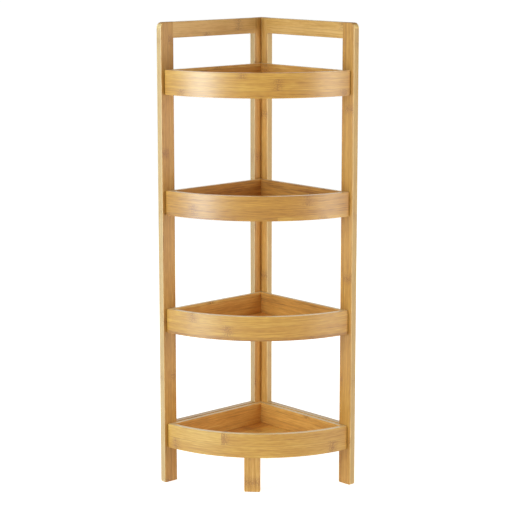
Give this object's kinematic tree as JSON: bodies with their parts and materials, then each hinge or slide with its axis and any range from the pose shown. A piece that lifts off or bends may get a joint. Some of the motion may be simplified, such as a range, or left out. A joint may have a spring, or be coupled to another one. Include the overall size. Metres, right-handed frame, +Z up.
{
  "type": "corner shelf",
  "caption": "Free-standing bamboo corner shelf with ladder side frames, quarter-round trays with bent fronts, and a short front leg.",
  "frame": {"origin": "on the floor, at the middle of the shelf's square footprint", "axes": "+Z up; the left frame stands along the -X side and the right frame along the +Y side, so the room corner is at -X +Y and the trays face +X and -Y"},
  "size_m": [0.24, 0.24, 0.8],
  "materials": {
    "post_bamboo": "laminated bamboo, clear satin lacquer",
    "rail_bamboo": "laminated bamboo, clear satin lacquer",
    "band_bamboo": "bent laminated bamboo strip, clear satin lacquer",
    "wall_bamboo": "laminated bamboo strip, clear satin lacquer",
    "floor_bamboo": "edge-glued bamboo strips, clear satin lacquer",
    "dowel_beech": "plain beech",
    "screw_steel": "zinc-plated steel"
  },
  "bodies": {
    "root": {"left_front_post": "post_bamboo", "left_back_post": "post_bamboo", "left_top_rail": "rail_bamboo", "left_top_back_dowel": "dowel_beech", "left_top_front_dowel": "dowel_beech", "left_bottom_rail": "rail_bamboo", "left_bottom_back_dowel": "dowel_beech", "left_bottom_front_dowel": "dowel_beech", "right_front_post": "post_bamboo", "right_back_post": "post_bamboo", "right_top_rail": "rail_bamboo", "right_top_back_dowel": "dowel_beech", "right_top_front_dowel": "dowel_beech", "right_bottom_rail": "rail_bamboo", "right_bottom_back_dowel": "dowel_beech", "right_bottom_front_dowel": "dowel_beech", "corner_low_screw": "screw_steel", "corner_middle_screw": "screw_steel", "corner_high_screw": "screw_steel", "tray_1_front_band": "band_bamboo", "tray_1_floor": "floor_bamboo", "tray_1_left_wall": "wall_bamboo", "tray_1_left_back_screw": "screw_steel", "tray_1_left_front_screw": "screw_steel", "tray_1_right_wall": "wall_bamboo", "tray_1_right_back_screw": "screw_steel", "tray_1_right_front_screw": "screw_steel", "tray_2_front_band": "band_bamboo", "tray_2_floor": "floor_bamboo", "tray_2_left_wall": "wall_bamboo", "tray_2_left_back_screw": "screw_steel", "tray_2_left_front_screw": "screw_steel", "tray_2_right_wall": "wall_bamboo", "tray_2_right_back_screw": "screw_steel", "tray_2_right_front_screw": "screw_steel", "tray_3_front_band": "band_bamboo", "tray_3_floor": "floor_bamboo", "tray_3_left_wall": "wall_bamboo", "tray_3_left_back_screw": "screw_steel", "tray_3_left_front_screw": "screw_steel", "tray_3_right_wall": "wall_bamboo", "tray_3_right_back_screw": "screw_steel", "tray_3_right_front_screw": "screw_steel", "tray_4_front_band": "band_bamboo", "tray_4_floor": "floor_bamboo", "tray_4_left_wall": "wall_bamboo", "tray_4_left_back_screw": "screw_steel", "tray_4_left_front_screw": "screw_steel", "tray_4_right_wall": "wall_bamboo", "tray_4_right_back_screw": "screw_steel", "tray_4_right_front_screw": "screw_steel", "front_leg": "post_bamboo", "leg_left_screw": "screw_steel", "leg_right_screw": "screw_steel"}
  },
  "joints": []
}
